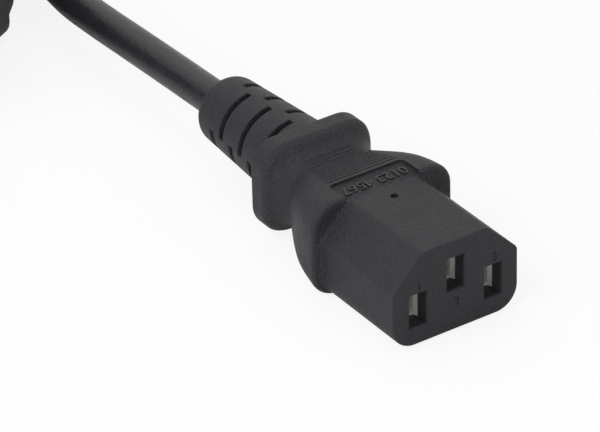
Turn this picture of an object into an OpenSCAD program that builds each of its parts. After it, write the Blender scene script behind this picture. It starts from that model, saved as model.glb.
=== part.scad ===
// Moulded C13 power connector on a round cable that is stored as a coil and ends in a C14 plug.
// X runs across the connector, Y along it, Z is up, and the earth slot is the upper one.
// The mating face looks towards -Y and the cable leaves towards +Y.
// A distance called d is measured from a mating face back towards its cable.

/* [Nose] */
// Width of the nose that goes into an inlet
nose_w = 23.3; // [22.7:0.1:24]
// Height of the nose
nose_h = 15.9; // [15.5:0.1:16.4]
// Length of the nose in front of the shoulder
nose_len = 19; // [18:0.5:22]
// Leg of the keying chamfers on the two upper corners
nose_chamfer = 5.5; // [4.5:0.1:6]
// Radius of the two lower corners
nose_corner_r = 4; // [2:0.25:4.5]
// Radius that softens both edges of a chamfer
chamfer_edge_r = 1.3; // [0.5:0.1:1.8]
// Rounding of the edge around the mating face
face_edge = 0.3; // [0.15:0.05:0.5]
// Fillet where the sides of the nose meet the shoulder
nose_fillet = 0.8; // [0.4:0.1:1.1]
// Height of the nose's underside above the shoulder's underside
nose_step = 0.15; // [0.05:0.05:0.4]
// Diameter of the gate dimple on top of the nose
dimple_d = 1.3; // [0.8:0.1:1.8]
// Depth of the gate dimple
dimple_depth = 0.9; // [0.4:0.1:1.2]
// Distance of the gate dimple from the mating face
dimple_at = 16; // [12:0.5:17]

/* [Contact slots] */
// Distance between the live slot and the neutral slot
slot_pitch = 14; // [13:0.25:14.5]
// Height of the earth slot above the other two
earth_rise = 4; // [3.5:0.25:4.5]
// Height of the live and neutral slots above the nose's underside
slot_rise = 6.05; // [5.6:0.05:6.3]
// Width of a slot
slot_w = 3.2; // [2.6:0.1:3.3]
// Height of a slot
slot_h = 5.7; // [5:0.1:5.8]
// Thickness of the wall that the slots go through
face_wall = 2.4; // [1.8:0.1:3]

/* [Grip] */
// Width of the shoulder behind the nose
shoulder_w = 26.2; // [25.4:0.2:27]
// Height of the shoulder
shoulder_h = 16.6; // [16.5:0.1:17.4]
// Rounding of the shoulder's front edge
shoulder_edge = 0.8; // [0.4:0.1:1]
// Corner radius of the grip's section
grip_r = 4.4; // [3.4:0.2:5]
// Distance of the waist behind the shoulder
waist_at = 13.5; // [12:0.5:15]
// Width of the waist
waist_w = 17.4; // [15.6:0.2:18.6]
// Depth of the waist's hollow below the shoulder's top
waist_top_drop = 1.95; // [1:0.05:2.4]
// Rise of the waist's underside above the shoulder's underside
waist_rise = 3.4; // [2:0.1:3.8]
// Distance of the rear rim behind the shoulder
rim_at = 18.75; // [17:0.25:21]
// Width of the rear rim
rim_w = 20.6; // [19:0.2:22]
// Height of the rear rim
rim_h = 15.8; // [15:0.1:17]
// Thickness of the rear rim along the cable
rim_t = 3; // [2:0.25:4]
// Rounding of the rear rim's back edge
rim_edge = 0.6; // [0.3:0.1:1]

/* [Thumb ribs and marking band] */
// Number of grooves across the top of the grip
groove_count = 11; // [5:1:11]
// Distance from groove to groove
groove_pitch = 0.92; // [0.7:0.01:1]
// Depth of a groove
groove_depth = 0.25; // [0.15:0.05:0.35]
// Length of the groove next to the marking band
groove_front_len = 13.4; // [12:0.2:14]
// Length of the groove next to the waist
groove_back_len = 9.6; // [8:0.2:10.4]
// Length of the marking band, from the shoulder to the grooves
band_len = 5; // [3:0.5:6]
// Width of the marking band
band_w = 13.9; // [10:0.1:14.5]
// Depth of the marking band below the top of the nose
band_sink = 0.1; // [0.05:0.05:0.3]
// Corner radius of the marking band
band_r = 1; // [0.3:0.1:1.5]

/* [Strain relief] */
// Length of the strain relief behind the rim
relief_len = 23.5; // [22:0.5:30]
// Diameter of the strain relief at the rim
relief_d0 = 14.4; // [13.6:0.1:15]
// Diameter of the strain relief at its end
relief_d1 = 11.5; // [11:0.1:12.8]
// Rounding of the strain relief's end
relief_round = 2.4; // [1.6:0.1:2.5]
// Height of the cable's centre above the shoulder's underside
cable_rise = 9.5; // [9:0.1:10]
// Number of slits in each quarter
slit_count = 3; // [2:1:3]
// Width of a slit
slit_w = 1; // [0.7:0.1:1.4]
// Distance from slit to slit in one quarter
slit_pitch = 6; // [5:0.1:6.2]
// Distance of the first slit behind the rim
slit_first = 2.7; // [1.5:0.1:3.5]
// Distance from the cable's centre to the bottom of a slit
slit_floor = 4.3; // [3.9:0.1:4.7]
// Half angle of the web that parts the slits at the top and at the bottom
slit_web = 4; // [2:1:8]

/* [Terminals] */
// Length of the insulating carrier
carrier_len = 12.6; // [12:0.1:13.4]
// Wall between the carrier and the outside of the nose
carrier_cover = 1.7; // [1.4:0.1:1.8]
// Gap between a contact and its cell
cell_gap = 0.1; // [0.05:0.01:0.15]
// Thickness of the contact's sheet metal
sheet = 0.4; // [0.3:0.05:0.5]
// How far a contact's spring bulges inwards
spring_bulge = 0.35; // [0.2:0.05:0.45]
// Outer diameter of a crimp barrel
barrel_d = 2.8; // [2.7:0.1:3.1]
// Length of a crimp barrel
barrel_len = 5; // [3.5:0.5:6]
// Diameter of a stripped conductor
conductor_d = 1.2; // [0.9:0.1:1.3]
// Diameter of an insulated core
core_d = 2.2; // [1.8:0.1:2.2]

/* [Cable] */
// Diameter of the cable's jacket
cable_d = 6.1; // [5.8:0.1:6.3]
// Number of turns across the coil
coil_columns = 2; // [2:1:2]
// Number of layers in the coil
coil_rows = 4; // [4:1:4]
// Diameter of the coil at the middle of its turns
coil_mean_d = 61; // [61:1:73]
// Thickness of a twist tie
tie_t = 0.6; // [0.4:0.1:0.8]
// Width of a twist tie
tie_w = 4; // [3:0.5:6]
// Gap between a twist tie and the coil
tie_gap = 0.12; // [0.1:0.01:0.2]

/* [C14 plug] */
// Gap between the plug's shroud and the nose that it takes
shroud_gap = 0.45; // [0.3:0.05:0.6]
// Wall thickness of the shroud
shroud_wall = 2.2; // [1.8:0.1:2.6]
// Depth of the shroud's cavity
cavity_depth = 17; // [16:0.5:17.5]
// Thickness of a pin
pin_t = 2; // [1.8:0.1:2.1]
// Height of a pin
pin_h = 4; // [3.6:0.1:4.2]
// Free length of the live and neutral pins
pin_len = 12.6; // [11:0.2:13.2]
// Extra free length of the earth pin
earth_pin_extra = 1.4; // [0.8:0.2:1.8]
// Length of the block that holds the pins
pin_carrier_len = 7; // [6:0.5:8]
// Wall between the pin block and the outside of the plug's nose
pin_carrier_cover = 1; // [0.8:0.1:1.6]

/* [Hidden] */
$fn = 48;

pvc_black = "#1c1c1e";
nylon_black = "#242427";
tinned_brass = "#c9cac6";
copper = "#b06a3c";
core_brown = "#5f3a24";
core_blue = "#27509a";
core_green = "#5d8f35";
tie_black = "#18181a";

corner_steps = 5;
bite = 1.5;
nose_top = nose_step + nose_h;
shoulder_d = nose_len;
waist_d = shoulder_d + waist_at;
rim_d = shoulder_d + rim_at;
rim_back_d = rim_d + rim_t;
end_d = rim_back_d + relief_len;
face_y = -end_d / 2;

// how the sides and the top fall from the shoulder (0, 0) to the waist (1, 1)
side_fall = [[0, 0], [0.12, 0.03], [0.35, 0.15], [0.55, 0.36], [0.71, 0.59], [0.87, 0.83], [1, 1]];
// how the underside rises from the shoulder to the waist
under_fall = [[0, 0], [0.12, 0.09], [0.4, 0.32], [0.64, 0.66], [0.85, 0.93], [1, 1]];
// how the section swells from the waist (0, 0) to the rear rim (1, 1)
rim_swell = [[0, 0], [0.3, 0.05], [0.6, 0.35], [0.85, 0.86], [1, 1]];

// terminals of the connector: side and lift of each one
neutral_at = [-slot_pitch / 2, 0];
earth_at = [0, earth_rise];
live_at = [slot_pitch / 2, 0];
// the plug faces the connector, so live and neutral change sides
plug_live_at = neutral_at;
plug_neutral_at = live_at;

carrier_d = face_wall;
carrier_back_d = carrier_d + carrier_len;
cell_wall = 1.4;
cell_w = slot_w + 0.2;
cell_h = slot_h + 0.3;
contact_w = cell_w - 2 * cell_gap;
contact_h = cell_h - 2 * cell_gap;
barrel_gap = 0.2;
strip_gap = 0.4;
bore_gap = 0.05;
jacket_d = waist_d + 1;
plug_jacket_d = rim_d + 1;
// the three cores lie close together where they enter the jacket
core_spread = 0.685 * core_d;

// centre heights of the live and neutral terminals in the connector and in the plug
slot_z = nose_step + slot_rise;
plug_nose_z = shroud_gap + shroud_wall;
pin_z = plug_nose_z + slot_rise;
plug_h = nose_h + 2 * plug_nose_z;
plug_w = nose_w + 2 * plug_nose_z;
plug_axis_z = plug_h / 2;
pin_carrier_d = cavity_depth;
pin_carrier_back_d = pin_carrier_d + pin_carrier_len;
// the crimp barrel of a contact lies on its floor strip, the barrel of a pin on the blade's centre
contact_barrel_drop = contact_h / 2 - barrel_d / 2 - 0.05;

// cable route: points chosen by hand, in millimetres
lead_route = [
    [0, end_d / 2, cable_rise], [0, 45, 9.1], [0, 58, 8.6], [0, 70, 8.1], [0.4, 79, 7.6],
    [2, 88, 6.7], [3.9, 97, 5.5], [4.8, 106, 4.5], [5, 118, 3.77]
];
tail_route = [
    [-14.4, 148.4, 28.3], [-24.6, 151, 30.6], [-32.2, 150, 32.2], [-39.1, 146.8, 33.6],
    [-44.7, 141.6, 34.7], [-48.4, 135, 35.5], [-49.8, 126, 35.8]
];
coil_entry = lead_route[len(lead_route) - 1];
plug_end = tail_route[len(tail_route) - 1];
cable_sides = 10;

coil_base = tie_t + tie_gap;
coil_outer_turn_r = coil_mean_d / 2 + (coil_columns - 1) / 2 * cable_d;
coil_x = coil_entry[0] - coil_outer_turn_r;
coil_y = coil_entry[1];
coil_inner_r = coil_mean_d / 2 - coil_columns / 2 * cable_d;
coil_outer_r = coil_mean_d / 2 + coil_columns / 2 * cable_d;
coil_h = coil_rows * cable_d;
channel_gap = 1.6;
channel_len = 26;

plug_x = plug_end[0];
plug_y = plug_end[1] - end_d;
plug_z = plug_end[2] - plug_axis_z;

// ---- plain geometry helpers ----

function unit(v) = v / norm(v);

// outline of a polygon whose corners [x, y, radius] are rounded by true arcs
function rounded(corners, steps = corner_steps) = [
    for (i = [0 : len(corners) - 1])
        let (
            n = len(corners),
            p = [corners[i][0], corners[i][1]],
            r = corners[i][2],
            u = unit([corners[(i + n - 1) % n][0], corners[(i + n - 1) % n][1]] - p),
            v = unit([corners[(i + 1) % n][0], corners[(i + 1) % n][1]] - p),
            half = acos(u * v) / 2,
            centre = p + unit(u + v) * r / sin(half),
            a0 = atan2((p + u * r / tan(half) - centre)[1], (p + u * r / tan(half) - centre)[0]),
            sweep = 180 - 2 * half
        )
        for (k = [0 : steps])
            centre + r * [cos(a0 + sweep * k / steps), sin(a0 + sweep * k / steps)]
];

// rectangle with one radius at its lower corners and one at its upper corners
function rounded_box(half_w, low, high, r) =
    rounded([[-half_w, low, r], [half_w, low, r], [half_w, high, r], [-half_w, high, r]]);

// the keyed outline of the nose, pulled in by inset on every side and widened by flare in X
function nose_outline(low, inset = 0, flare = 0, steps = corner_steps) =
    let (
        x = nose_w / 2 - inset + flare,
        z0 = low + inset,
        z1 = low + nose_h - inset,
        c = nose_chamfer - inset * (2 - sqrt(2)),
        r0 = max(0.4, nose_corner_r - inset + flare),
        r1 = max(0.3, chamfer_edge_r - inset)
    )
    rounded([
        [-x, z0, r0], [x, z0, r0], [x, z1 - c, r1], [x - c, z1, r1], [-x + c, z1, r1], [-x, z1 - c, r1]
    ], steps);

// height of a smooth curve through knots [x, y] that starts and ends level and never overshoots them
function chord(k, i) = (k[i + 1][1] - k[i][1]) / (k[i + 1][0] - k[i][0]);
function slope_at(k, i) =
    i == 0 || i == len(k) - 1 ? 0
    : chord(k, i - 1) * chord(k, i) <= 0 ? 0
    : 2 * chord(k, i - 1) * chord(k, i) / (chord(k, i - 1) + chord(k, i));
function span_of(k, x, i = 0) = i >= len(k) - 2 || x < k[i + 1][0] ? i : span_of(k, x, i + 1);
function smooth_through(k, x) =
    let (
        i = span_of(k, x),
        w = k[i + 1][0] - k[i][0],
        t = (x - k[i][0]) / w
    )
    k[i][1] * (1 + 2 * t) * (1 - t) * (1 - t)
        + k[i + 1][1] * t * t * (3 - 2 * t)
        + slope_at(k, i) * w * t * (1 - t) * (1 - t)
        - slope_at(k, i + 1) * w * t * t * (1 - t);

// closed skin over rings of points that run anticlockwise as seen from -Y
module skin(rings) {
    n = len(rings[0]);
    m = len(rings);
    polyhedron(
        points = [for (ring = rings) each ring],
        faces = concat(
            [[for (j = [n - 1 : -1 : 0]) j]],
            [
                for (i = [0 : m - 2])
                    for (j = [0 : n - 1])
                        [i * n + j, i * n + (j + 1) % n, (i + 1) * n + (j + 1) % n, (i + 1) * n + j]
            ],
            [[for (j = [0 : n - 1]) (m - 1) * n + j]]
        )
    );
}

function ring_at(outline, d) = [for (p = outline) [p[0], d, p[1]]];

// straight prism of an XZ outline from distance d0 to distance d1
module prism(outline, d0, d1) {
    translate([0, d1, 0]) rotate([90, 0, 0]) linear_extrude(d1 - d0) polygon(outline);
}

// cylinder along Y
module rod(x, z, r, d0, d1) {
    translate([x, d0, z]) rotate([-90, 0, 0]) cylinder(h = d1 - d0, r = r);
}

// ---- the shared moulding: grip, rear rim and strain relief ----

// section of the grip at distance d, for a shoulder [half width, low, high] and a waist and a rim like it
function grip_share(d) =
    d <= waist_d
        ? smooth_through(side_fall, max(0, (d - grip_start) / (waist_d - grip_start)))
        : 1 - smooth_through(rim_swell, min(1, (d - waist_d) / (rim_d - waist_d)));
function under_share(d) =
    d <= waist_d
        ? smooth_through(under_fall, max(0, (d - grip_start) / (waist_d - grip_start)))
        : grip_share(d);
function mix(a, b, t) = a + (b - a) * t;
function grip_size(shoulder, waist, rim, d) =
    let (big = d <= waist_d ? shoulder : rim)
    [
        mix(big[0], waist[0], grip_share(d)),
        mix(big[1], waist[1], under_share(d)),
        mix(big[2], waist[2], grip_share(d))
    ];
function grip_section(shoulder, waist, rim, d, inset = 0) =
    let (s = grip_size(shoulder, waist, rim, d))
    ring_at(rounded_box(s[0] - inset, s[1] + inset, s[2] - inset, grip_r - inset), d);

grip_start = shoulder_d + shoulder_edge;
edge_steps = 3;
fall_steps = 14;
swell_steps = 9;

module grip(shoulder, waist, rim) {
    skin(concat(
        [
            for (k = [0 : edge_steps - 1])
                let (a = 90 * k / edge_steps)
                grip_section(shoulder, waist, rim,
                    shoulder_d + shoulder_edge * (1 - cos(a)), shoulder_edge * (1 - sin(a)))
        ],
        [
            for (k = [0 : fall_steps])
                grip_section(shoulder, waist, rim, mix(grip_start, waist_d, k / fall_steps))
        ],
        [
            for (k = [1 : swell_steps])
                grip_section(shoulder, waist, rim, mix(waist_d, rim_d, k / swell_steps))
        ],
        [
            for (k = [0 : edge_steps])
                let (a = 90 * k / edge_steps)
                grip_section(shoulder, waist, rim,
                    rim_back_d - rim_edge * (1 - sin(a)), rim_edge * (1 - cos(a)))
        ]
    ));
}

// tapered strain relief around the cable, with slits that leave a square core
module relief(axis_z) {
    profile = rounded_end([[0, -bite], [relief_d0 / 2, -bite], [relief_d1 / 2, relief_len], [0, relief_len]]);
    translate([0, rim_back_d, axis_z])
        difference() {
            rotate([-90, 0, 0]) rotate_extrude() polygon(profile);
            for (side = [0, 1])
                for (half = [0, 1])
                    for (k = [0 : slit_count - 1])
                        translate([0, slit_first + (k + abs(side - half) / 2) * slit_pitch, 0])
                            mirror([side, 0, 0])
                                mirror([0, 0, half])
                                    slit();
        }
}

// quarter of a ring that opens the side at -X and +Z
module slit() {
    translate([0, -slit_w / 2, 0])
        rotate([-90, 0, 0])
            rotate([0, 0, 180 - slit_overrun])
                rotate_extrude(angle = 90 - slit_web + slit_overrun)
                    translate([slit_floor, 0]) square([relief_d0, slit_w]);
}
slit_overrun = 1.5;

// the strain relief's half profile with its outer end rounded
function rounded_end(p) =
    let (
        r = relief_round,
        u = unit(p[1] - p[2]),
        v = unit(p[3] - p[2]),
        half = acos(u * v) / 2,
        centre = p[2] + unit(u + v) * r / sin(half),
        from = p[2] + u * r / tan(half) - centre,
        a0 = atan2(from[1], from[0]),
        sweep = 180 - 2 * half
    )
    concat(
        [p[0], p[1]],
        [for (k = [0 : 8]) centre + r * [cos(a0 + sweep * k / 8), sin(a0 + sweep * k / 8)]],
        [p[3]]
    );

// ---- terminals ----

// insulated core from its crimp to the jacket, trimmed square at both ends, the first one lead earlier
module core_shape(at, z0, drop, start_d, stop_d, axis_z, lead = 0) {
    from = [at[0], start_d, z0 + at[1] - drop];
    side = sign(at[0]);
    to = [side * core_spread * 0.87, stop_d, axis_z + (side == 0 ? core_spread : -core_spread / 2)];
    run = to - from;
    reach = norm(run) + 4;
    intersection() {
        translate(from - unit(run) * 2)
            rotate([0, acos(run[2] / norm(run)), atan2(run[1], run[0])])
                cylinder(h = reach, r = core_d / 2);
        translate([-nose_w, start_d - lead, -nose_h])
            cube([2 * nose_w, stop_d - start_d + lead, 3 * nose_h]);
    }
}

// folded box contact: two leaves with springs, roof and floor, a strip and a crimp barrel
module contact(at) {
    w = contact_w / 2;
    h = contact_h / 2;
    box_len = carrier_len - cell_wall - cell_gap;
    barrel_z = -contact_barrel_drop;
    leaf = [
        [w, 0], [w - 0.1, 0], [w - sheet, 0.7], [w - sheet, 3.2], [w - sheet - spring_bulge, 4.6],
        [w - sheet - spring_bulge, 5.2], [w - sheet, 6.6], [w - sheet, box_len], [w, box_len]
    ];
    color(tinned_brass)
        translate([at[0], carrier_d + cell_gap, slot_z + at[1]])
            union() {
                translate([0, 0, -h]) linear_extrude(2 * h) polygon(leaf);
                translate([0, 0, -h]) linear_extrude(2 * h) mirror([1, 0]) polygon(leaf);
                for (side = [-1, 1])
                    translate([side > 0 ? seam : -w, 0.7, h - sheet])
                        cube([w - seam, box_len - 0.7, sheet]);
                translate([-w, 0.7, -h]) cube([2 * w, box_len - 0.7, sheet]);
                translate([-strip_w / 2, box_len - 0.5, -h])
                    cube([strip_w, cell_wall + 0.5 + strip_reach, strip_t]);
                translate([0, box_len + cell_wall + barrel_gap, barrel_z])
                    rotate([-90, 0, 0])
                        difference() {
                            cylinder(h = barrel_len, r = barrel_d / 2);
                            translate([0, 0, 0.8])
                                cylinder(h = barrel_len, r = conductor_d / 2 + bore_gap);
                        }
            }
}
seam = 0.15;
strip_w = 1.8;
strip_t = sheet + 0.1;
strip_reach = barrel_gap + 1;

contact_barrel_d = carrier_back_d + barrel_gap;
contact_core_d = contact_barrel_d + barrel_len + strip_gap;
pin_reach = barrel_gap + 0.6;
pin_barrel_d = pin_carrier_back_d + barrel_gap;
pin_core_d = pin_barrel_d + barrel_len + strip_gap;

// stripped strand end that the barrel holds
module conductor(at, z0, drop, start_d, stop_d) {
    color(copper) rod(at[0], z0 + at[1] - drop, conductor_d / 2, start_d, stop_d);
}

module contact_conductor(at) {
    conductor(at, slot_z, contact_barrel_drop, contact_barrel_d + 1, contact_core_d);
}

module contact_core(at, tint) {
    color(tint) core_shape(at, slot_z, contact_barrel_drop, contact_core_d, jacket_d, cable_rise);
}

// blade with a chamfered tip and a crimp barrel
module pin(at, extra) {
    tip = 0.6;
    tip_d = pin_carrier_d - pin_len - extra;
    blade = [
        [-pin_t / 2 + tip, tip_d], [pin_t / 2 - tip, tip_d], [pin_t / 2, tip_d + 1.4],
        [pin_t / 2, pin_carrier_back_d + pin_reach], [-pin_t / 2, pin_carrier_back_d + pin_reach],
        [-pin_t / 2, tip_d + 1.4]
    ];
    color(tinned_brass)
        translate([at[0], 0, pin_z + at[1]])
            union() {
                translate([0, 0, -pin_h / 2]) linear_extrude(pin_h) polygon(blade);
                translate([0, pin_barrel_d, 0])
                    rotate([-90, 0, 0])
                        difference() {
                            cylinder(h = barrel_len, r = barrel_d / 2);
                            translate([0, 0, 0.8])
                                cylinder(h = barrel_len, r = conductor_d / 2 + bore_gap);
                        }
            }
}

module pin_conductor(at) {
    conductor(at, pin_z, 0, pin_barrel_d + 1, pin_core_d);
}

module pin_core(at, tint) {
    color(tint) core_shape(at, pin_z, 0, pin_core_d, plug_jacket_d, plug_axis_z);
}

// ---- the connector ----

connector_shoulder = [shoulder_w / 2, 0, shoulder_h];
connector_waist = [waist_w / 2, waist_rise, shoulder_h - waist_top_drop];
connector_rim = [rim_w / 2, cable_rise - rim_h / 2 - 0.25, cable_rise + rim_h / 2 - 0.25];

module nose_body() {
    skin([
        ring_at(nose_outline(nose_step, face_edge), 0),
        ring_at(nose_outline(nose_step, face_edge * 0.3), face_edge * 0.3),
        ring_at(nose_outline(nose_step), face_edge),
        ring_at(nose_outline(nose_step), shoulder_d - nose_fillet),
        ring_at(nose_outline(nose_step, 0, nose_fillet * 0.13), shoulder_d - nose_fillet * 0.5),
        ring_at(nose_outline(nose_step, 0, nose_fillet * 0.45), shoulder_d - nose_fillet * 0.16),
        ring_at(nose_outline(nose_step, 0, nose_fillet), shoulder_d),
        ring_at(nose_outline(nose_step, 0, nose_fillet), shoulder_d + bite)
    ]);
}

// marking band: a shallow field behind the nose, level with its top
module marking_band() {
    half = band_w / 2;
    outline = rounded([
        [-half, 0, 0.1], [half, 0, 0.1], [half, band_len, band_r], [-half, band_len, band_r]
    ]);
    translate([0, shoulder_d, nose_top - band_sink]) linear_extrude(2) polygon(outline);
}

// grooves across the hollow of the grip, each as long as the flat between the rounded corners
module thumb_grooves() {
    for (k = [0 : groove_count - 1])
        let (
            d = shoulder_d + band_len + (k + 1) * groove_pitch,
            s = grip_size(connector_shoulder, connector_waist, connector_rim, d),
            half = mix(groove_front_len, groove_back_len, k / (groove_count - 1)) / 2
        )
        translate([-half, d, s[2] + 0.05])
            rotate([45, 0, 0])
                translate([0, -groove_bar / 2, -groove_bar / 2])
                    cube([2 * half, groove_bar, groove_bar]);
}
groove_bar = (groove_depth + 0.05) * sqrt(2);

// room for the crimp barrels, the cores and the jacket in a moulding
module terminal_voids(drop, z0, start_d, core_d0, jacket_d0, axis_z, spots) {
    for (at = spots) {
        rod(at[0], z0 + at[1] - drop, barrel_d / 2, start_d - bite, core_d0);
        core_shape(at, z0, drop, core_d0, jacket_d0, axis_z, strip_gap / 2);
    }
    rod(0, axis_z, cable_d / 2, jacket_d0, end_d + bite);
}

module overmould() {
    color(pvc_black)
        translate([0, face_y, 0])
            difference() {
                union() {
                    nose_body();
                    grip(connector_shoulder, connector_waist, connector_rim);
                    relief(cable_rise);
                }
                marking_band();
                thumb_grooves();
                translate([0, dimple_at, nose_top - dimple_depth])
                    cylinder(h = 2, r = dimple_d / 2);
                for (at = [neutral_at, earth_at, live_at])
                    translate([at[0] - slot_w / 2, -bite, slot_z + at[1] - slot_h / 2])
                        cube([slot_w, face_wall + 2 * bite, slot_h]);
                prism(nose_outline(nose_step, carrier_cover), carrier_d, carrier_back_d);
                terminal_voids(contact_barrel_drop, slot_z, carrier_back_d, contact_core_d,
                    jacket_d, cable_rise, [neutral_at, earth_at, live_at]);
                for (at = [neutral_at, earth_at, live_at])
                    translate([at[0] - strip_w / 2, carrier_back_d - bite, slot_z + at[1] - contact_h / 2])
                        cube([strip_w, bite + strip_reach, strip_t]);
            }
}

module contact_carrier() {
    color(nylon_black)
        translate([0, face_y, 0])
            difference() {
                prism(nose_outline(nose_step, carrier_cover), carrier_d, carrier_back_d);
                for (at = [neutral_at, earth_at, live_at])
                    translate([at[0], 0, slot_z + at[1]]) {
                        translate([-cell_w / 2, carrier_d - bite, -cell_h / 2])
                            cube([cell_w, bite + carrier_len - cell_wall, cell_h]);
                        translate([-strip_w / 2 - cell_gap, carrier_d, -cell_h / 2])
                            cube([strip_w + 2 * cell_gap, carrier_len + bite, strip_t + 2 * cell_gap]);
                    }
            }
}

module neutral_contact() { translate([0, face_y, 0]) contact(neutral_at); }
module earth_contact() { translate([0, face_y, 0]) contact(earth_at); }
module live_contact() { translate([0, face_y, 0]) contact(live_at); }
module neutral_conductor() { translate([0, face_y, 0]) contact_conductor(neutral_at); }
module earth_conductor() { translate([0, face_y, 0]) contact_conductor(earth_at); }
module live_conductor() { translate([0, face_y, 0]) contact_conductor(live_at); }
module neutral_core() { translate([0, face_y, 0]) contact_core(neutral_at, core_blue); }
module earth_core() { translate([0, face_y, 0]) contact_core(earth_at, core_green); }
module live_core() { translate([0, face_y, 0]) contact_core(live_at, core_brown); }

module jacket_end() {
    color(pvc_black)
        translate([0, face_y, 0])
            rod(0, cable_rise, cable_d / 2, jacket_d, end_d);
}

// ---- the cable ----

// tube along a route of points: each ring stands square to the way on
module cable_run(route) {
    n = len(route);
    skin([
        for (i = [0 : n - 1])
            let (
                ahead = unit(route[min(i + 1, n - 1)] - route[max(i - 1, 0)]),
                flow = abs(ahead[1]) > 0.9 && (i == 0 || i == n - 1) ? [0, sign(ahead[1]), 0] : ahead,
                right = unit(cross(flow, [0, 0, 1])),
                up = cross(right, flow)
            )
            [
                for (k = [0 : cable_sides - 1])
                    let (a = 360 * (k + 0.5) / cable_sides)
                    route[i] + cable_d / 2 * (right * cos(a) + up * sin(a))
            ]
    ]);
}

module cable_lead() { color(pvc_black) cable_run(lead_route); }

// the tail runs towards -Y, so its rings are laid from the plug's end
module cable_tail() {
    color(pvc_black)
        cable_run([for (i = [len(tail_route) - 1 : -1 : 0]) tail_route[i]]);
}

// outline of the bundle of turns
function bundle(grow) =
    rounded([
        [coil_inner_r - grow, coil_base - grow, 2.5 + grow],
        [coil_outer_r + grow, coil_base - grow, 2.5 + grow],
        [coil_outer_r + grow, coil_base + coil_h + grow, 2.5 + grow],
        [coil_inner_r - grow, coil_base + coil_h + grow, 2.5 + grow]
    ]);

module cable_coil() {
    color(pvc_black)
        difference() {
            translate([coil_x, coil_y, 0]) rotate_extrude($fn = 96) polygon(bundle(0));
            translate([
                coil_entry[0] - cable_d / 2 - channel_gap, coil_y - channel_len,
                coil_entry[2] - cable_d / 2 - bite
            ])
                cube([2 * cable_d, channel_len, cable_d + bite + 2.5]);
        }
}

// twist tie: a flat band around the bundle and its twisted ends
module coil_tie(angle) {
    color(tie_black)
        translate([coil_x, coil_y, 0])
            rotate([0, 0, angle])
                union() {
                    rotate([90, 0, 0])
                        linear_extrude(tie_w, center = true)
                            difference() {
                                polygon(bundle(tie_gap + tie_t));
                                polygon(bundle(tie_gap));
                            }
                    translate([coil_outer_r + tie_gap + tie_t / 2, 0, coil_base + coil_h * 0.6])
                        rotate([0, 70, 0])
                            cylinder(h = 9, r = 0.9);
                }
}

module coil_tie_near() { coil_tie(300); }
module coil_tie_far() { coil_tie(130); }

// ---- the C14 plug ----

plug_shoulder = [plug_w / 2 - 0.6, 0.6, plug_h - 0.6];
plug_waist = [waist_w / 2, plug_axis_z - 6, plug_axis_z + 6];
plug_rim = [rim_w / 2, plug_axis_z - rim_h / 2, plug_axis_z + rim_h / 2];

module plug_overmould() {
    spots = [plug_neutral_at, earth_at, plug_live_at];
    color(pvc_black)
        translate([plug_x, plug_y, plug_z])
            difference() {
                union() {
                    prism(nose_outline(plug_nose_z, -plug_nose_z), 0, shoulder_d + bite);
                    grip(plug_shoulder, plug_waist, plug_rim);
                    relief(plug_axis_z);
                }
                prism(nose_outline(plug_nose_z, -shroud_gap), -bite, cavity_depth);
                prism(nose_outline(plug_nose_z, pin_carrier_cover), cavity_depth - bite, pin_carrier_back_d);
                terminal_voids(0, pin_z, pin_carrier_back_d, pin_core_d, plug_jacket_d, plug_axis_z, spots);
                for (at = spots)
                    translate([at[0] - pin_t / 2, pin_carrier_back_d - bite, pin_z + at[1] - pin_h / 2])
                        cube([pin_t, bite + pin_reach, pin_h]);
            }
}

module pin_carrier() {
    color(nylon_black)
        translate([plug_x, plug_y, plug_z])
            difference() {
                prism(nose_outline(plug_nose_z, pin_carrier_cover), pin_carrier_d, pin_carrier_back_d);
                for (at = [plug_neutral_at, earth_at, plug_live_at])
                    translate([at[0] - pin_t / 2, pin_carrier_d - bite, pin_z + at[1] - pin_h / 2])
                        cube([pin_t, pin_carrier_len + 2 * bite, pin_h]);
            }
}

module plug_neutral_pin() { translate([plug_x, plug_y, plug_z]) pin(plug_neutral_at, 0); }
module plug_earth_pin() { translate([plug_x, plug_y, plug_z]) pin(earth_at, earth_pin_extra); }
module plug_live_pin() { translate([plug_x, plug_y, plug_z]) pin(plug_live_at, 0); }
module plug_neutral_conductor() { translate([plug_x, plug_y, plug_z]) pin_conductor(plug_neutral_at); }
module plug_earth_conductor() { translate([plug_x, plug_y, plug_z]) pin_conductor(earth_at); }
module plug_live_conductor() { translate([plug_x, plug_y, plug_z]) pin_conductor(plug_live_at); }
module plug_neutral_core() { translate([plug_x, plug_y, plug_z]) pin_core(plug_neutral_at, core_blue); }
module plug_earth_core() { translate([plug_x, plug_y, plug_z]) pin_core(earth_at, core_green); }
module plug_live_core() { translate([plug_x, plug_y, plug_z]) pin_core(plug_live_at, core_brown); }

module plug_jacket_end() {
    color(pvc_black)
        translate([plug_x, plug_y, plug_z])
            rod(0, plug_axis_z, cable_d / 2, plug_jacket_d, end_d);
}

overmould();
contact_carrier();
neutral_contact();
earth_contact();
live_contact();
neutral_conductor();
earth_conductor();
live_conductor();
neutral_core();
earth_core();
live_core();
jacket_end();
cable_lead();
cable_coil();
cable_tail();
coil_tie_near();
coil_tie_far();
plug_overmould();
pin_carrier();
plug_neutral_pin();
plug_earth_pin();
plug_live_pin();
plug_neutral_conductor();
plug_earth_conductor();
plug_live_conductor();
plug_neutral_core();
plug_earth_core();
plug_live_core();
plug_jacket_end();
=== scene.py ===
import math

import bmesh
import bpy
import numpy as np
from mathutils import Matrix, Vector


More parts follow.
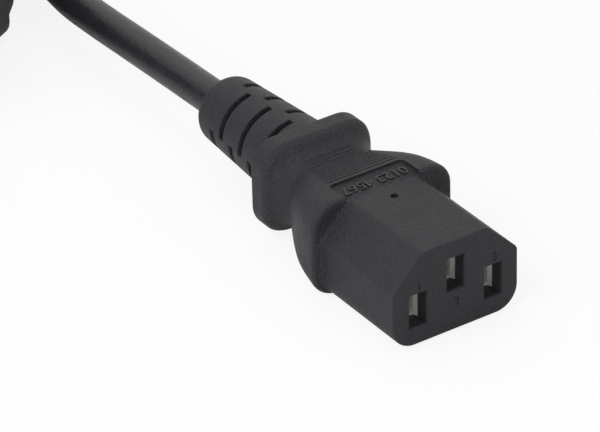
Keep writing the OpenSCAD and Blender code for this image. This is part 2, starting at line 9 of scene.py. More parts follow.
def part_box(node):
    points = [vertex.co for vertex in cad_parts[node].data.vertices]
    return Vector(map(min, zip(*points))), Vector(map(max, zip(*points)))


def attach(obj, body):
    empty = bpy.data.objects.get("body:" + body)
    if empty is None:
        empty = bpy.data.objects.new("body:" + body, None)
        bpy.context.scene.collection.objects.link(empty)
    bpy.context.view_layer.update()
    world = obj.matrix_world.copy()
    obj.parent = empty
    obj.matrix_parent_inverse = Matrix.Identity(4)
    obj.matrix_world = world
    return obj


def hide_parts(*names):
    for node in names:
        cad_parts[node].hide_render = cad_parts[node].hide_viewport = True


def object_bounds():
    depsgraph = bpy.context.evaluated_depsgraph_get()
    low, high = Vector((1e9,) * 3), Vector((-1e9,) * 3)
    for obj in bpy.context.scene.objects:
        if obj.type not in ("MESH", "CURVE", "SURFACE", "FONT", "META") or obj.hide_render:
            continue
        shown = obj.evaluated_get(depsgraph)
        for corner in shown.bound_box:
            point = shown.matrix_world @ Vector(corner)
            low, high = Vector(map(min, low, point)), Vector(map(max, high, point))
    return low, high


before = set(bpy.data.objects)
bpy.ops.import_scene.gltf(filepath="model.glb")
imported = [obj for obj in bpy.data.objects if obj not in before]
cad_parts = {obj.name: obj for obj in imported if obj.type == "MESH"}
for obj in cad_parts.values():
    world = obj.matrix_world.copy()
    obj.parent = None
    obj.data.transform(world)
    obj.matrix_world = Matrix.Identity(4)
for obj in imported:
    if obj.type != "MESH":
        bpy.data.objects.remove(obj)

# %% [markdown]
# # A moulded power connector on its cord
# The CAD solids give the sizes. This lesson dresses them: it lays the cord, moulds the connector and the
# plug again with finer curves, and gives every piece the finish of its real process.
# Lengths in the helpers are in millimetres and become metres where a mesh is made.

MM = 0.001
size_before = [list(corner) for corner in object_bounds()]
print("part at load:", size_before)

# %% [markdown]
# ## The camera
# A long lens far away keeps parallel edges nearly parallel, as product pictures do. The camera turns about
# the connector's front lower edge: `back` points from there to the camera, `right` and `up` span the picture.

# %% Camera
AZIMUTH, ELEVATION, ROLL = (math.radians(a) for a in (-33.279, 31.704, -1.589))
DISTANCE, LENS = 0.650, 255.84
MIDDLE_RIGHT, MIDDLE_UP = -0.023806, 0.017189
back = Vector((math.sin(AZIMUTH) * math.cos(ELEVATION), -math.cos(AZIMUTH) * math.cos(ELEVATION),
               math.sin(ELEVATION)))
level = Vector((0, 0, 1)).cross(back).normalized()
upright = back.cross(level)
right = math.cos(ROLL) * level + math.sin(ROLL) * upright
up = -math.sin(ROLL) * level + math.cos(ROLL) * upright
NOSE_LIFT = 0.15 * MM
face_low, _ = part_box("overmould")
origin = Vector((0, face_low.y, NOSE_LIFT))
eye = origin + MIDDLE_RIGHT * right + MIDDLE_UP * up + DISTANCE * back

camera = bpy.data.objects.new("camera", bpy.data.cameras.new("camera"))
camera.data.lens = LENS
camera.data.clip_start = 0.01
camera.matrix_world = Matrix((
    (right.x, up.x, back.x, eye.x), (right.y, up.y, back.y, eye.y), (right.z, up.z, back.z, eye.z),
    (0, 0, 0, 1)))
bpy.context.scene.collection.objects.link(camera)
bpy.context.scene.camera = camera
bpy.context.scene.view_settings.view_transform = "Standard"
print("camera at", [round(x, 4) for x in eye])


# %% [markdown]
# ## Node helper and materials
# One small function adds a node with its settings and its inputs, so each material reads as a list. Colours
# are written as sRGB hex and turned to linear light. Patterns use Object coordinates, so their scale is in
# turns per metre: a grain of 0.3 mm has a scale of about 1 / 0.0003.

# %% Helpers for nodes
def linear(hex_colour):
    parts = [int(hex_colour[i:i + 2], 16) / 255 for i in (1, 3, 5)]
    return [c / 12.92 if c <= 0.04045 else ((c + 0.055) / 1.055) ** 2.4 for c in parts] + [1.0]


def add(tree, kind, inputs=(), **settings):
    """Add a node; an input is a value or the socket that feeds it."""
    made = tree.nodes.new(kind)
    for name, value in settings.items():
        setattr(made, name, value)
    for key, value in dict(inputs).items():
        if isinstance(value, bpy.types.NodeSocket):
            tree.links.new(value, made.inputs[key])
        else:
            made.inputs[key].default_value = value
    return made


def surface(name, colour, roughness, grain=None, depth=0.0, rough_spread=0.0, **extra):
    """A Principled material; grain (mm) and depth (mm) give a fine relief, rough_spread uneven gloss."""
    material = bpy.data.materials.new(name)
    material.use_nodes = True
    tree = material.node_tree
    tree.nodes.clear()
    inputs = {"Base Color": linear(colour), "Roughness": roughness, **extra}
    where = add(tree, "ShaderNodeTexCoord").outputs["Object"]
    if rough_spread:
        blotch = add(tree, "ShaderNodeTexNoise", {"Vector": where, "Scale": 300.0, "Detail": 4.0})
        inputs["Roughness"] = add(tree, "ShaderNodeMapRange", {
            "Value": blotch.outputs["Fac"], "From Min": 0.3, "From Max": 0.7,
            "To Min": roughness - rough_spread, "To Max": roughness + rough_spread}).outputs["Result"]
    if grain:
        pits = add(tree, "ShaderNodeTexNoise",
                   {"Vector": where, "Scale": 1 / (grain * MM), "Detail": 3.0, "Roughness": 0.6})
        inputs["Normal"] = add(tree, "ShaderNodeBump", {
            "Strength": 1.0, "Distance": depth * MM, "Height": pits.outputs["Fac"]}).outputs["Normal"]
    shader = add(tree, "ShaderNodeBsdfPrincipled", inputs)
    add(tree, "ShaderNodeOutputMaterial", {"Surface": shader.outputs["BSDF"]})
    return material


# %% Materials of the real pieces
PVC = surface("black PVC, spark-eroded mould finish", "#27272a", 0.45, 0.42, 0.45, 0.05, IOR=1.5,
              **{"Specular IOR Level": 0.24})
FACE_PVC = surface("black PVC, fine mould finish", "#242426", 0.38, 0.25, 0.1, 0.04, IOR=1.5,
                   **{"Specular IOR Level": 0.35})
JACKET = surface("black PVC jacket, extruded", "#202023", 0.33, 0.9, 0.12, 0.06, IOR=1.5,
                 **{"Specular IOR Level": 0.35})
NYLON = surface("black nylon 66, moulded", "#1b1b1c", 0.5, 0.25, 0.006, 0.04, IOR=1.53)
TIN = surface("tinned brass strip, stamped", "#e6e5e0", 0.42, 0.5, 0.002, 0.07, Metallic=0.8)
COPPER = surface("bare copper strand", "#c77b50", 0.3, 0.3, 0.004, 0.05, Metallic=1.0)
TIE = surface("black PVC twist tie", "#1e1e20", 0.4, 0.4, 0.008, 0.05, IOR=1.53)
CORES = {name: surface(f"{name} PVC core insulation, extruded", colour, 0.38, 0.4, 0.004, 0.05, IOR=1.53)
         for name, colour in (("blue", "#2d62a8"), ("green", "#3f8f3c"), ("brown", "#6b4128"))}
print("materials:", len(bpy.data.materials))

# %% [markdown]
# ## Floor and light
# A white sweep of light. The floor and the world are white to the camera and in reflections, and the lamps
# stay soft and low so that black plastic keeps its shape. One large lamp stands at the upper left, one
# hangs above, and a small one in front reaches into the terminal slots.

# %% Floor, world and lamps
FLOOR_SIDE, FLOOR_GLOW = 6.0, 0.86
floor_mesh = bpy.data.meshes.new("floor")
floor_mesh.from_pydata([(x * FLOOR_SIDE / 2, y * FLOOR_SIDE / 2, 0.0)
                        for x, y in ((-1, -1), (1, -1), (1, 1), (-1, 1))], [], [(0, 1, 2, 3)])
floor = bpy.data.objects.new("floor", floor_mesh)
bpy.context.scene.collection.objects.link(floor)
floor.location.z = size_before[0][2] - 0.0002
white = bpy.data.materials.new("white paper sweep")
white.use_nodes = True
paper = white.node_tree
paper.nodes.clear()
ray = add(paper, "ShaderNodeLightPath").outputs["Is Camera Ray"]
matt = add(paper, "ShaderNodeBsdfDiffuse", {"Color": linear("#f4f4f4")}).outputs["BSDF"]
glow = add(paper, "ShaderNodeEmission", {"Color": (1, 1, 1, 1), "Strength": 1.0}).outputs["Emission"]
share = add(paper, "ShaderNodeMath", {0: ray, 1: FLOOR_GLOW}, operation="MULTIPLY").outputs["Value"]
add(paper, "ShaderNodeOutputMaterial",
    {"Surface": add(paper, "ShaderNodeMixShader", {0: share, 1: matt, 2: glow}).outputs["Shader"]})
floor_mesh.materials.append(white)

world = bpy.data.worlds.new("studio")
bpy.context.scene.world = world
world.use_nodes = True
sky = world.node_tree
sky.nodes.clear()
path_of_ray = add(sky, "ShaderNodeLightPath").outputs
seen = add(sky, "ShaderNodeMath", {0: path_of_ray["Is Camera Ray"], 1: path_of_ray["Is Glossy Ray"]},
           operation="MAXIMUM").outputs["Value"]
seen = add(sky, "ShaderNodeMath", {0: seen, 1: path_of_ray["Is Transmission Ray"]},
           operation="MAXIMUM").outputs["Value"]
# the dimmer light of the room falls on the part; the camera and reflections see white
soft = add(sky, "ShaderNodeBackground", {"Color": linear("#f2f4f8"), "Strength": 0.45}).outputs[0]
bright = add(sky, "ShaderNodeBackground", {"Color": (1, 1, 1, 1), "Strength": 1.0}).outputs[0]
add(sky, "ShaderNodeOutputWorld",
    {"Surface": add(sky, "ShaderNodeMixShader", {0: seen, 1: soft, 2: bright}).outputs["Shader"]})


def lamp(name, place, aim, side, watts):
    light = bpy.data.lights.new(name, "AREA")
    light.shape, light.size, light.energy = "SQUARE", side, watts
    holder = bpy.data.objects.new(name, light)
    bpy.context.scene.collection.objects.link(holder)
    holder.location = place
    holder.rotation_euler = (Vector(aim) - Vector(place)).to_track_quat("-Z", "Y").to_euler()


lamp("key softbox", (-0.55, -0.05, 0.55), (0, 0, 0.01), 0.45, 3.2)
lamp("top softbox", (0.1, 0.35, 0.75), (0, 0, 0.01), 0.6, 1.6)
lamp("front fill", (-0.38, -0.62, 0.22), (0, -0.03, 0.008), 0.22, 1.6)

# %% [markdown]
# ## The cord
# The cord leaves the strain relief, sinks to the table and is wound into a coil of two columns and four
# rows before it climbs to the plug, which lies on the coil. Each turn keeps one radius and height and
# steps over to the next place in the bundle in an S bend. A list of places drives the winding; a geometry
# node tree sweeps a round section along it.

# %% Route of the cord
THICK = 6.1
LEAD = [(0, 32.125, 9.5), (0, 45, 9.1), (0, 58, 8.6), (0, 70, 8.1), (0.4, 79, 7.6), (2, 88, 6.7),
        (3.9, 97, 5.5), (4.8, 106, 4.5), (5, 118, 3.77)]
CENTRE = (-28.55, 118)
OUTER, INNER = 33.55, 27.45
ROWS = (3.77, 9.87, 15.97, 22.07)
# angle in degrees at which the cord steps on, then the radius and height that it steps to
STEPS = [(330, INNER, ROWS[0]), (650, INNER, ROWS[1]), (970, OUTER, ROWS[1]), (1290, OUTER, ROWS[2]),
         (1610, INNER, ROWS[2]), (1930, INNER, ROWS[3]), (2250, OUTER, ROWS[3])]
STEP_HALF, TURN_STEP = 35, 4
CLIMB_FROM, LEAVE_AT, LEAVE_ANGLE = 2510, 2590, 70
# the last half turn leaves the bundle, narrows and climbs to the plug that lies on the coil
EXIT_CENTRE, EXIT_R, PLUG_AXIS_Z, PLUG_END = (-25.42, 126.6), 24.4, 35.8, (-49.8, 126, 35.8)


def eased_step(t):
    t = min(1, max(0, t))
    return t * t * (3 - 2 * t)


def winding(angle):
    r, z = OUTER, ROWS[0]
    for at, next_r, next_z in STEPS:
        t = eased_step((angle - at + STEP_HALF) / (2 * STEP_HALF))
        r, z = r + (next_r - r) * t, z + (next_z - z) * t
    a = math.radians(angle)
    return [CENTRE[0] + r * math.cos(a), CENTRE[1] + r * math.sin(a), z]


def leaving():
    """The climb: the rest of the outer turn and then the narrower half turn."""
    first = math.radians(LEAVE_AT - CLIMB_FROM) * OUTER
    whole = first + math.radians(180 - LEAVE_ANGLE) * EXIT_R
    out = []
    for a in range(CLIMB_FROM, LEAVE_AT, TURN_STEP):
        x, y, z = winding(a)
        run = math.radians(a - CLIMB_FROM) * OUTER
        out.append((x, y, z + (PLUG_AXIS_Z - ROWS[3]) * eased_step(run / whole)))
    for a in range(LEAVE_ANGLE, 180, 5):
        run = first + math.radians(a - LEAVE_ANGLE) * EXIT_R
        out.append((EXIT_CENTRE[0] + EXIT_R * math.cos(math.radians(a)),
                    EXIT_CENTRE[1] + EXIT_R * math.sin(math.radians(a)),
                    ROWS[3] + (PLUG_AXIS_Z - ROWS[3]) * eased_step(run / whole)))
    return out + [PLUG_END]


def eased(points, per_span=4):
    """Points on a smooth curve through the given ones."""
    p = np.array([2 * np.array(points[0]) - points[1], *points, 2 * np.array(points[-1]) - points[-2]])
    out = []
    for i in range(1, len(p) - 2):
        for k in range(per_span):
            t = k / per_span
            out.append(0.5 * (2 * p[i] + (p[i + 1] - p[i - 1]) * t
                              + (2 * p[i - 1] - 5 * p[i] + 4 * p[i + 1] - p[i + 2]) * t ** 2
                              + (3 * p[i] - p[i - 1] - 3 * p[i + 1] + p[i + 2]) * t ** 3))
    return [tuple(q) for q in out] + [tuple(p[-2])]


coil_points = [winding(a) for a in range(TURN_STEP, CLIMB_FROM, TURN_STEP)]
route = [Vector(p) * MM for p in eased(LEAD) + coil_points + leaving()]
route_length = sum((b - a).length for a, b in zip(route, route[1:]))
print("cord length on its route:", round(route_length, 3), "m in", len(route), "points")


# %% Sweep of the cord
def tree_for(name, sockets):
    """An empty geometry node tree with a Geometry input and the named inputs."""
    tree = bpy.data.node_groups.new(name, "GeometryNodeTree")
    tree.interface.new_socket("Geometry", in_out="INPUT", socket_type="NodeSocketGeometry")
    for label, kind in sockets:
        tree.interface.new_socket(label, in_out="INPUT", socket_type=kind)
    tree.interface.new_socket("Geometry", in_out="OUTPUT", socket_type="NodeSocketGeometry")
    return tree, add(tree, "NodeGroupInput").outputs


def grown(name, source, tree, values):
    """The plain mesh object that a node tree makes from a source mesh."""
    holder = bpy.data.objects.new(name + " source", source)
    bpy.context.scene.collection.objects.link(holder)
    modifier = holder.modifiers.new("grow", "NODES")
    modifier.node_group = tree
    for item in tree.interface.items_tree:
        if item.in_out == "INPUT" and item.name in values:
            modifier[item.identifier] = values[item.name]
    bpy.context.view_layer.update()
    seen_now = holder.evaluated_get(bpy.context.evaluated_depsgraph_get())
    mesh = bpy.data.meshes.new_from_object(seen_now)
    bpy.data.objects.remove(holder)
    made = bpy.data.objects.new(name, mesh)
    bpy.context.scene.collection.objects.link(made)
    return made


sweep, given = tree_for("sweep a round section", [
    ("Radius", "NodeSocketFloat"), ("Sides", "NodeSocketInt"), ("Material", "NodeSocketMaterial")])
line = add(sweep, "GeometryNodeMeshToCurve", {0: given["Geometry"]}).outputs[0]
ring = add(sweep, "GeometryNodeCurvePrimitiveCircle",
           {"Resolution": given["Sides"], "Radius": given["Radius"]}).outputs[0]
tube = add(sweep, "GeometryNodeCurveToMesh", {0: line, 1: ring, "Fill Caps": True}).outputs[0]
tube = add(sweep, "GeometryNodeRealizeInstances", {0: tube}).outputs[0]
tube = add(sweep, "GeometryNodeSetMaterial", {0: tube, "Material": given["Material"]}).outputs[0]
add(sweep, "NodeGroupOutput", {0: tube})

thread = bpy.data.meshes.new("cord line")
thread.from_pydata(route, [(i, i + 1) for i in range(len(route) - 1)], [])
cable = grown("cable", thread, sweep, {"Radius": THICK / 2 * MM, "Sides": 28, "Material": JACKET})
print("cable:", len(cable.data.polygons), "faces")

# %% [markdown]
# ## The mouldings
# Connector and plug are single PVC mouldings. Each is a row of outlines skinned along its length: a keyed
# nose, then a grip that narrows to a waist and swells to a rim. The same knots as in the CAD source shape
# the sides, but with many more rings, so light runs along the curves without facets. The thumb grooves are
# pressed into the rings themselves, and the strain relief is cut from a turned cone.

# %% Outlines and smooth curves
SHOULDER_D, GRIP_START, WAIST_D, RIM_D, END_D = 19.0, 19.8, 32.5, 37.75, 40.75
GRIP_R, EDGE, RIM_EDGE = 4.4, 0.8, 0.6
NOSE_W, NOSE_H, CHAMFER, NOSE_R, CHAMFER_R = 23.3, 15.9, 5.5, 4.0, 1.3
SIDE_FALL = [(0, 0), (0.12, 0.03), (0.35, 0.15), (0.55, 0.36), (0.71, 0.59), (0.87, 0.83), (1, 1)]
UNDER_FALL = [(0, 0), (0.12, 0.09), (0.4, 0.32), (0.64, 0.66), (0.85, 0.93), (1, 1)]
RIM_SWELL = [(0, 0), (0.3, 0.05), (0.6, 0.35), (0.85, 0.86), (1, 1)]


def smooth_through(knots, x):
    x = min(max(x, 0.0), 1.0)
    rise = [(b[1] - a[1]) / (b[0] - a[0]) for a, b in zip(knots, knots[1:])]
    slope = [0.0] + [2 * p * q / (p + q) if p * q > 0 else 0.0 for p, q in zip(rise, rise[1:])] + [0.0]
    i = max(k for k in range(len(knots) - 1) if x >= knots[k][0])
    w = knots[i + 1][0] - knots[i][0]
    t = (x - knots[i][0]) / w
    return (knots[i][1] * (1 + 2 * t) * (1 - t) ** 2 + knots[i + 1][1] * t * t * (3 - 2 * t)
            + slope[i] * w * t * (1 - t) ** 2 - slope[i + 1] * w * t * t * (1 - t))


def rounded(corners, steps):
    out, n = [], len(corners)
    for i, (x, z, r) in enumerate(corners):
        p = np.array((x, z))
        u, v = (np.array(corners[j % n][:2]) - p for j in (i - 1, i + 1))
        u, v = u / np.linalg.norm(u), v / np.linalg.norm(v)
        half = math.acos(float(u @ v)) / 2
        middle = p + (u + v) / np.linalg.norm(u + v) * r / math.sin(half)
        start = p + u * r / math.tan(half) - middle
        a0, turn = math.atan2(start[1], start[0]), math.pi - 2 * half
        out += [middle + r * np.array((math.cos(a0 + turn * k / steps), math.sin(a0 + turn * k / steps)))
                for k in range(steps + 1)]
    return out


def nose_outline(low, inset=0.0, flare=0.0, steps=14):
    x, z0, z1 = NOSE_W / 2 - inset + flare, low + inset, low + NOSE_H - inset
    c = CHAMFER - inset * (2 - math.sqrt(2))
    r0, r1 = max(0.4, NOSE_R - inset + flare), max(0.3, CHAMFER_R - inset)
    return rounded([(-x, z0, r0), (x, z0, r0), (x, z1 - c, r1), (x - c, z1, r1), (-x + c, z1, r1),
                    (-x, z1 - c, r1)], steps)


def grip_size(shoulder, waist, rim, d):
    if d <= WAIST_D:
        t = (d - GRIP_START) / (WAIST_D - GRIP_START)
        side, under = smooth_through(SIDE_FALL, t), smooth_through(UNDER_FALL, t)
        big = shoulder
    else:
        side = under = 1 - smooth_through(RIM_SWELL, (d - WAIST_D) / (RIM_D - WAIST_D))
        big = rim
    return [b + (w - b) * s for b, w, s in zip(big, waist, (side, under, side))]


# %% Rings to a closed skin
def solid(name, rings, material):
    """A closed mesh through rings of equal point count; each ring is a list of (x, d, z) in mm."""
    n = len(rings[0])
    verts = [Vector(p) * MM for ring_points in rings for p in ring_points]
    faces = [(a * n + k, a * n + (k + 1) % n, (a + 1) * n + (k + 1) % n, (a + 1) * n + k)
             for a in range(len(rings) - 1) for k in range(n)]
    faces += [tuple(range(n - 1, -1, -1)), tuple(range((len(rings) - 1) * n, len(rings) * n))]
    mesh = bpy.data.meshes.new(name)
    mesh.from_pydata(verts, [], faces)
    shape = bmesh.new()
    shape.from_mesh(mesh)
    bmesh.ops.recalc_face_normals(shape, faces=shape.faces)
    shape.to_mesh(mesh)
    shape.free()
    mesh.materials.append(material)
    made = bpy.data.objects.new(name, mesh)
    bpy.context.scene.collection.objects.link(made)
    return made


def prism(name, outline, d0, d1, material):
    return solid(name, [[(x, d, z) for x, z in outline] for d in (d0, d1)], material)


def carve(target, tool, operation):
    """Join a tool to a mesh or cut it away, and drop the tool."""
    modifier = target.modifiers.new("carve", "BOOLEAN")
    modifier.operation, modifier.object, modifier.solver = operation, tool, "MANIFOLD"
    bpy.context.view_layer.update()
    mesh = bpy.data.meshes.new_from_object(
        target.evaluated_get(bpy.context.evaluated_depsgraph_get()))
    target.modifiers.clear()
    target.data = mesh
    bpy.data.objects.remove(tool)
    return target


# %% Grip with thumb grooves
GROOVES, GROOVE_PITCH, GROOVE_DEPTH, BAND_END = 11, 0.92, 0.25, 24.0
GROOVE_FRONT, GROOVE_BACK = 6.7, 4.8
RING_STEP, CORNER_STEPS, TOP_STEPS = 0.115, 14, 30


def groove_at(x, d):
    k = round((d - BAND_END) / GROOVE_PITCH) - 1
    if not 0 <= k < GROOVES:
        return 0.0
    off = abs(d - BAND_END - (k + 1) * GROOVE_PITCH)
    reach = GROOVE_FRONT + (GROOVE_BACK - GROOVE_FRONT) * k / (GROOVES - 1)
    return max(0.0, GROOVE_DEPTH - off) * min(1.0, max(0.0, (reach - abs(x)) / 0.25))


def grip_ring(sizes, d, inset, grooved):
    half, low, high = grip_size(*sizes, d)
    r = GRIP_R - inset
    outline = rounded([(-half + inset, low + inset, r), (half - inset, low + inset, r),
                       (half - inset, high - inset, r), (-half + inset, high - inset, r)], CORNER_STEPS)
    corner = CORNER_STEPS + 1
    left_to_right = np.linspace(outline[3 * corner - 1][0], outline[3 * corner][0], TOP_STEPS + 2)[1:-1]
    top = [(x, high - inset) for x in left_to_right]
    out = outline[:3 * corner] + top + outline[3 * corner:]
    return [(x, d, z - (groove_at(x, d) if grooved and z > high - 0.05 else 0.0)) for x, z in out]


def grip(name, sizes, grooved, material):
    quarter = [math.radians(15 * k) for k in range(7)]
    rings = [(SHOULDER_D + EDGE * (1 - math.cos(a)), EDGE * (1 - math.sin(a))) for a in quarter[:-1]]
    rings += [(d, 0.0) for d in np.arange(GRIP_START, END_D - RIM_EDGE - 0.05, RING_STEP)]
    rings += [(END_D - RIM_EDGE * (1 - math.sin(a)), RIM_EDGE * (1 - math.cos(a))) for a in quarter]
    return solid(name, [grip_ring(sizes, d, inset, grooved) for d, inset in rings], material)


# %% [markdown]
# ### Strain relief
# The relief is a cone with a rounded end. Quarter slits, set in turn on opposite sides, let it bend like a
# spine. A cutter is one quarter ring whose section opens at the surface, which leaves the soft worn lip that
# a moulded slit has.

# %% Strain relief with slits
RELIEF_LEN, RELIEF_R0, RELIEF_R1, RELIEF_ROUND, BITE = 23.5, 7.2, 5.75, 2.4, 1.5
SLIT_FIRST, SLIT_PITCH, SLIT_FLOOR, SLIT_WEB, SLIT_OVER, SLIT_HALF = 2.7, 6.0, 4.3, 4.0, 1.5, 0.5


def relief_radius(s):
    return RELIEF_R0 + (RELIEF_R1 - RELIEF_R0) * s / RELIEF_LEN


def slit_cutter(s, side, half, axis_z):
    edge = relief_radius(s)
    section = [(SLIT_FLOOR, -SLIT_HALF), (edge - 0.3, -SLIT_HALF), (edge - 0.08, -SLIT_HALF - 0.07),
               (edge + 0.2, -SLIT_HALF - 0.4), (edge + 0.2, SLIT_HALF + 0.4),
               (edge - 0.08, SLIT_HALF + 0.07), (edge - 0.3, SLIT_HALF), (SLIT_FLOOR, SLIT_HALF)]
    angles = np.radians(np.linspace(180 - SLIT_OVER, 270 - SLIT_WEB, 25))
    rings = [[(side * r * math.cos(a), END_D + s + w, axis_z - half * r * math.sin(a))
              for r, w in section] for a in angles]
    return solid("slit", rings, PVC)


def relief(name, axis_z):
    end = RELIEF_LEN - RELIEF_ROUND
    profile = [(-BITE, RELIEF_R0)] + [(s, relief_radius(s)) for s in np.linspace(0, end, 40)]
    profile += [(end + RELIEF_ROUND * math.sin(a), relief_radius(end) - RELIEF_ROUND * (1 - math.cos(a)))
                for a in np.radians(np.arange(6, 91, 6))]
    turn = np.radians(np.arange(0, 360, 3))
    cone = solid(name, [[(r * math.sin(t), END_D + s, axis_z + r * math.cos(t)) for t in turn]
                        for s, r in profile], PVC)
    for side in (1, -1):
        for half in (1, -1):
            for k in range(3):
                shift = 0 if side == half else 0.5
                cone = carve(cone, slit_cutter(SLIT_FIRST + (k + shift) * SLIT_PITCH, side, half, axis_z),
                             "DIFFERENCE")
    return cone


# %% Place and finish a moulding
def settle(piece, shift, smooth_angle=30.0):
    """Move the mesh to its place and keep edges above the angle sharp."""
    piece.data.transform(Matrix.Translation(Vector(shift)))
    piece.data.shade_smooth()
    piece.data.set_sharp_from_angle(angle=math.radians(smooth_angle))
    return piece


CAP_SHARE = 0.72  # height of a digit as a share of the font size


def digits(name, words, height, deep, place, turn, material):
    """Plain numbers as a closed mesh, lying in the XY plane before the turn."""
    text = bpy.data.curves.new(name, "FONT")
    text.body, text.size, text.extrude = words, height / CAP_SHARE * MM, deep / 2 * MM
    text.align_x, text.align_y, text.resolution_u = "CENTER", "CENTER", 3
    holder = bpy.data.objects.new(name + " text", text)
    bpy.context.scene.collection.objects.link(holder)
    bpy.context.view_layer.update()
    mesh = bpy.data.meshes.new_from_object(
        holder.evaluated_get(bpy.context.evaluated_depsgraph_get()))
    bpy.data.objects.remove(holder)
    shape = bmesh.new()
    shape.from_mesh(mesh)
    bmesh.ops.remove_doubles(shape, verts=shape.verts, dist=1e-7)
    bmesh.ops.recalc_face_normals(shape, faces=shape.faces)
    shape.to_mesh(mesh)
    shape.free()
    mesh.transform(Matrix.Translation(Vector(place) * MM) @ turn)
    mesh.materials.clear()
    mesh.materials.append(material)
    made = bpy.data.objects.new(name, mesh)
    bpy.context.scene.collection.objects.link(made)
    return made


# %% [markdown]
# ### Connector
# Nose, grip and relief are joined, then the three terminal slots, the room for the contact carrier, the
# marking field and the centre dimple are cut. The slots open slightly at the face.

# %% Connector moulding
NOSE_LOW, FACE_WALL, CARRIER_BACK, CARRIER_COVER = 0.15, 2.4, 15.0, 1.7
NOSE_TOP = NOSE_LOW + NOSE_H
SLOT_Z, SLOT_HALF_W, SLOT_HALF_H = 6.2, 1.6, 2.85
SLOTS = [(-7.0, 0.0), (0.0, 4.0), (7.0, 0.0)]
CONNECTOR = ([13.1, 0.0, 16.6], [8.7, 3.4, 14.65], [10.3, 1.35, 17.15])
quarter = np.radians(np.arange(0, 91, 15))
nose_rings = [(0.3 * (1 - math.sin(a)), 0.3 * (1 - math.cos(a)), 0.0) for a in quarter[::-1]]
nose_rings += [(18.2, 0, 0), (18.4, 0, 0.04), (18.6, 0, 0.13), (18.75, 0, 0.26), (18.87, 0, 0.45),
               (19.0, 0, 0.8), (20.5, 0, 0.8)]
moulding = solid("connector_moulding", [[(x, d, z) for x, z in nose_outline(NOSE_LOW, inset, flare)]
                                        for d, inset, flare in nose_rings], PVC)
moulding = carve(moulding, grip("grip", CONNECTOR, True, PVC), "UNION")
moulding = carve(moulding, relief("relief", 9.5), "UNION")
band = rounded([(-6.95, 18.9, 0.05), (6.95, 18.9, 0.05), (6.95, BAND_END, 1.0), (-6.95, BAND_END, 1.0)], 10)
field = solid("field", [[(x, d, z) for x, d in band] for z in (NOSE_TOP - 0.1, NOSE_TOP + 2)], PVC)
moulding = carve(moulding, field, "DIFFERENCE")
pit = [[(0.65 * math.cos(t), 16 + 0.65 * math.sin(t), z) for t in np.radians(np.arange(0, 360, 12))]
       for z in (NOSE_TOP - 0.9, NOSE_TOP + 1)]
moulding = carve(moulding, solid("pit", pit, PVC), "DIFFERENCE")
for x, rise in SLOTS:
    mouths = [(-0.3, 0.5), (0.2, 0.0), (FACE_WALL + 0.5, 0.0)]
    rings = [[(px, d, pz) for px, pz in rounded(
        [(x - SLOT_HALF_W - g, SLOT_Z + rise - SLOT_HALF_H - g, 0.15),
         (x + SLOT_HALF_W + g, SLOT_Z + rise - SLOT_HALF_H - g, 0.15),
         (x + SLOT_HALF_W + g, SLOT_Z + rise + SLOT_HALF_H + g, 0.15),
         (x - SLOT_HALF_W - g, SLOT_Z + rise + SLOT_HALF_H + g, 0.15)], 4)] for d, g in mouths]
    moulding = carve(moulding, solid("slot", rings, PVC), "DIFFERENCE")
room = prism("room", nose_outline(NOSE_LOW, CARRIER_COVER), FACE_WALL, CARRIER_BACK, PVC)
moulding = carve(moulding, room, "DIFFERENCE")
print("connector moulding:", len(moulding.data.polygons), "faces")

# %% Plain numbers on the connector
upright_turn = Matrix.Rotation(math.radians(90), 4, "X")
for number, (x, z) in enumerate(((-6.8, 10.35), (0.2, 5.1), (7.3, 10.4)), 1):
    cutter = digits(f"digit_{number}", str(number), 1.6, 0.3, (x, 0.0, z), upright_turn, PVC)
    moulding = carve(moulding, cutter, "DIFFERENCE")
print("after the digits:", len(moulding.data.polygons), "faces")
settle(moulding, (0, face_low.y, 0))
numerals = digits("band_numerals", "0123 4567", 2.05, 0.5, (0.0, 21.4, NOSE_TOP - 0.1),
                  Matrix.Rotation(math.pi, 4, "Z"), FACE_PVC)
settle(numerals, (0, face_low.y, 0))

# %% [markdown]
# ### Plug at the other end
# The same grip and relief with a shroud in place of the nose. Two recesses make the cavity and the seat of
# the pin carrier.

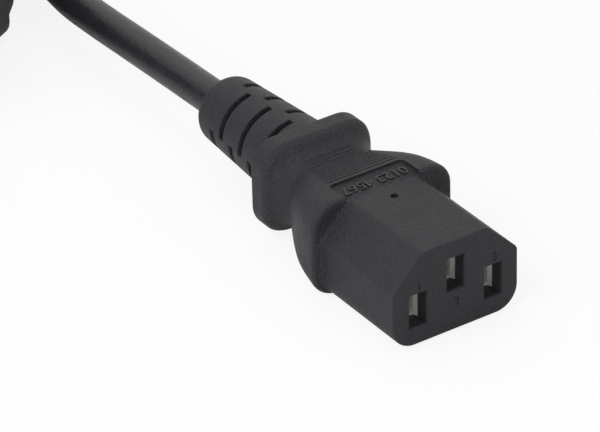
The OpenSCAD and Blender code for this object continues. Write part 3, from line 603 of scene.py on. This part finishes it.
# %% Plug moulding
SHROUD, CAVITY, PIN_CARRIER_BACK, PLUG_AXIS = 2.65, 17.0, 24.0, 10.6
PLUG = ([13.7, 0.6, 20.6], [8.7, PLUG_AXIS - 6, PLUG_AXIS + 6], [10.3, PLUG_AXIS - 7.9, PLUG_AXIS + 7.9])
plug_low, plug_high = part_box("plug_overmould")
plug_x = (plug_low.x + plug_high.x) / 2
plug_rings = [(0.4 * (1 - math.sin(a)), 0.4 * (1 - math.cos(a))) for a in quarter[::-1]] + [(20.5, 0.0)]
plug = solid("plug_moulding", [[(x, d, z) for x, z in nose_outline(SHROUD, inset - SHROUD)]
                               for d, inset in plug_rings], PVC)
plug = carve(plug, grip("plug grip", PLUG, False, PVC), "UNION")
plug = carve(plug, relief("plug relief", PLUG_AXIS), "UNION")
plug = carve(plug, prism("cavity", nose_outline(SHROUD, -0.45), -1, CAVITY, PVC), "DIFFERENCE")
plug = carve(plug, prism("seat", nose_outline(SHROUD, 1), CAVITY - 1, PIN_CARRIER_BACK, PVC), "DIFFERENCE")
settle(plug, (plug_x, plug_low.y, plug_low.z))
print("plug moulding:", len(plug.data.polygons), "faces")

# %% [markdown]
# ## Finishes of the CAD pieces
# The carrier, contacts, conductors, cores, pins and ties keep their exact CAD meshes and only get their
# finish.

# %% Materials on CAD nodes
FINISH = {"contact_carrier": NYLON, "pin_carrier": NYLON, "coil_tie_near": TIE, "coil_tie_far": TIE,
          "jacket_end": JACKET, "plug_jacket_end": JACKET}
for pole, tint in (("neutral", "blue"), ("earth", "green"), ("live", "brown")):
    FINISH.update({f"{pole}_contact": TIN, f"plug_{pole}_pin": TIN, f"{pole}_conductor": COPPER,
                   f"plug_{pole}_conductor": COPPER, f"{pole}_core": CORES[tint],
                   f"plug_{pole}_core": CORES[tint]})
for node, finish in FINISH.items():
    mesh = bpy.data.objects[node].data
    mesh.materials.clear()
    mesh.materials.append(finish)
print("finished CAD nodes:", len(FINISH))

# %% Ties to the frame
settle(cable, (0, 0, 0), 60.0)
for piece, name in ((moulding, "pvc_black"), (numerals, "pvc_black"), (plug, "pvc_black"),
                    (cable, "cable_jacket")):
    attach(piece, "root")
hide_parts("overmould")
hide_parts("plug_overmould")
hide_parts("cable_lead", "cable_coil", "cable_tail")
